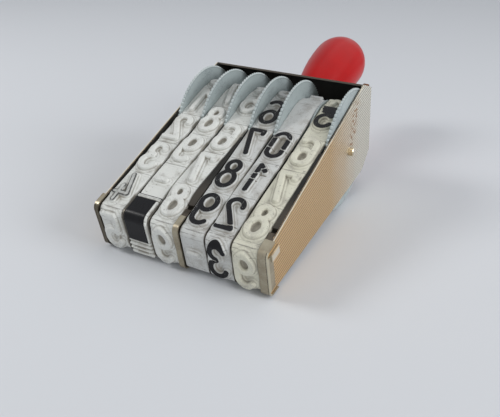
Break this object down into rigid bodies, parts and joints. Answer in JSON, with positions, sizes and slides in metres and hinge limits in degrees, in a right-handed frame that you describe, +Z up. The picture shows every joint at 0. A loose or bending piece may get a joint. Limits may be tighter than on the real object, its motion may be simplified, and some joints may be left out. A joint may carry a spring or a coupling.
{
  "type": "number stamp",
  "caption": "Hand stamp with side-by-side rubber number bands, each on its own toothed setting wheel, in a knurled metal frame with a red knob handle.",
  "frame": {"origin": "middle of the object's box on the surface it lies on", "axes": "+X along the wheels' axle, +Y from the print face towards the handle, +Z up; the stamp lies on the rims of its wheels and its rear print edge"},
  "size_m": [0.104, 0.229, 0.0745],
  "materials": {
    "knurled_nickel": "fine diagonal knurl, nickel plated, a few rust specks",
    "dull_sheet": "darkened sheet, dull",
    "strap_steel": "plated sheet, tarnished",
    "bright_steel": "bright plated",
    "brown_rivet": "browned",
    "collar_metal": "plated",
    "red_lacquer": "glossy lacquer",
    "white_rubber": "cool white, slightly soiled, inked characters",
    "cream_rubber": "yellowed white, slightly soiled",
    "wheel_plastic": "blue-grey moulded plastic"
  },
  "bodies": {
    "root": {"frame": "knurled_nickel", "bridge": "dull_sheet", "left_strap": "strap_steel", "centre_strap": "strap_steel", "right_strap": "strap_steel", "front_guide_plate": "dull_sheet", "rear_guide_plate": "dull_sheet", "axle": "bright_steel", "left_washer": "bright_steel", "right_washer": "bright_steel", "corner_rivets": "brown_rivet", "handle_stud": "bright_steel", "handle_collar": "collar_metal", "handle_knob": "red_lacquer", "band_divider_1": "strap_steel", "band_divider_2": "strap_steel", "band_divider_3": "strap_steel", "band_divider_4": "strap_steel", "number_band_1": "white_rubber", "number_band_2": "white_rubber", "number_band_3": "white_rubber", "number_band_4": "white_rubber", "number_band_5": "white_rubber", "number_band_6": "cream_rubber"},
    "wheel_1": {"wheel_1": "wheel_plastic"},
    "wheel_2": {"wheel_2": "wheel_plastic"},
    "wheel_3": {"wheel_3": "wheel_plastic"},
    "wheel_4": {"wheel_4": "wheel_plastic"},
    "wheel_5": {"wheel_5": "wheel_plastic"},
    "wheel_6": {"wheel_6": "wheel_plastic"}
  },
  "joints": [
    {"name": "wheel_1_spin", "type": "hinge", "parent": "root", "child": "wheel_1", "pos_m": [0, -0.00513, 0.036], "axis": [1, 0, 0], "continuous": true},
    {"name": "wheel_2_spin", "type": "hinge", "parent": "root", "child": "wheel_2", "pos_m": [0, -0.00513, 0.036], "axis": [1, 0, 0], "continuous": true},
    {"name": "wheel_3_spin", "type": "hinge", "parent": "root", "child": "wheel_3", "pos_m": [0, -0.00513, 0.036], "axis": [1, 0, 0], "continuous": true},
    {"name": "wheel_4_spin", "type": "hinge", "parent": "root", "child": "wheel_4", "pos_m": [0, -0.00513, 0.036], "axis": [1, 0, 0], "continuous": true},
    {"name": "wheel_5_spin", "type": "hinge", "parent": "root", "child": "wheel_5", "pos_m": [0, -0.00513, 0.036], "axis": [1, 0, 0], "continuous": true},
    {"name": "wheel_6_spin", "type": "hinge", "parent": "root", "child": "wheel_6", "pos_m": [0, -0.00513, 0.036], "axis": [1, 0, 0], "continuous": true}
  ]
}
